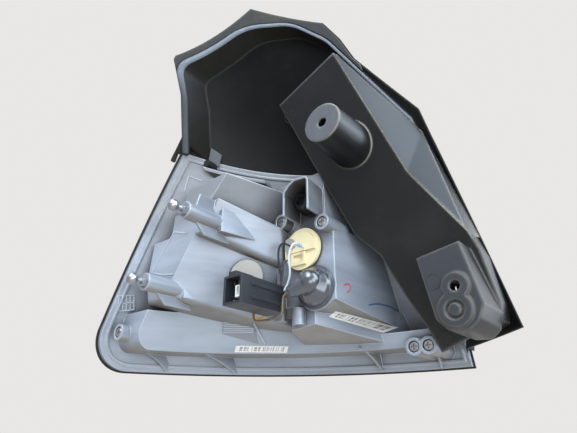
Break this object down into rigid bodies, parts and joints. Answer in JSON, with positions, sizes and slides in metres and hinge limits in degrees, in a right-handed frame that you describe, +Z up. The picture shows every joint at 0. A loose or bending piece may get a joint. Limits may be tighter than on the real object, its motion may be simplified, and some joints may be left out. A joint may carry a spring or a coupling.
{
  "type": "tail light cluster",
  "caption": "Rear corner car lamp: stepped grey moulded housing with bulb holders, plug and ball studs behind a curved red lens, under a black trim panel with a boss bracket",
  "frame": {"origin": "middle of the upper boss bore, on the face of the boss that seats on the car body", "axes": "+X inboard, +Y rearward the way the lens faces, +Z up; every fixing goes into the body along -Y"},
  "size_m": [0.3143, 0.2219, 0.327],
  "materials": {
    "housing_grey": "satin moulded plastic",
    "lens_red": "clear gloss, red",
    "bead_black": "matte",
    "trim_black": "worn gloss",
    "foam_grey": "rough foam",
    "bracket_black": "worn gloss",
    "stud_zinc": "bright zinc",
    "screw_steel": "dull zinc",
    "pin_dark": "matte",
    "holder_cream": "satin",
    "holder_black": "satin",
    "boot_black": "satin rubber",
    "seal_black": "matte",
    "bulb_glass": "clear",
    "reflector_chrome": "bright",
    "connector_black": "satin",
    "insert_white": "satin",
    "terminal_brass": "tinned",
    "wire_white": "satin",
    "wire_black": "satin",
    "wire_brown": "satin",
    "wire_yellow": "satin",
    "wire_grey": "satin"
  },
  "bodies": {
    "root": {"rear_housing": "housing_grey", "outer_lens": "lens_red", "lens_bead": "bead_black", "garnish": "trim_black", "garnish_seal": "foam_grey", "mount_bracket": "bracket_black", "upper_ball_stud": "stud_zinc", "lower_ball_stud": "stud_zinc", "hood_screws": "screw_steel", "inboard_screws": "screw_steel", "corner_screw": "screw_steel", "guide_pin": "pin_dark", "turn_bulb_holder": "holder_cream", "tail_bulb_holder": "holder_black", "reverse_bulb_holder": "holder_black", "side_bulb_holder": "holder_cream", "tail_boot": "boot_black", "turn_seal": "seal_black", "tail_seal": "seal_black", "reverse_seal": "seal_black", "side_seal": "seal_black", "turn_bulb": "bulb_glass", "tail_bulb": "bulb_glass", "reverse_bulb": "bulb_glass", "side_bulb": "bulb_glass", "reflector": "reflector_chrome", "connector_shell": "connector_black", "connector_insert": "insert_white", "connector_terminals": "terminal_brass", "wire_white": "wire_white", "wire_black": "wire_black", "wire_brown": "wire_brown", "wire_yellow": "wire_yellow", "wire_grey": "wire_grey"}
  },
  "joints": []
}
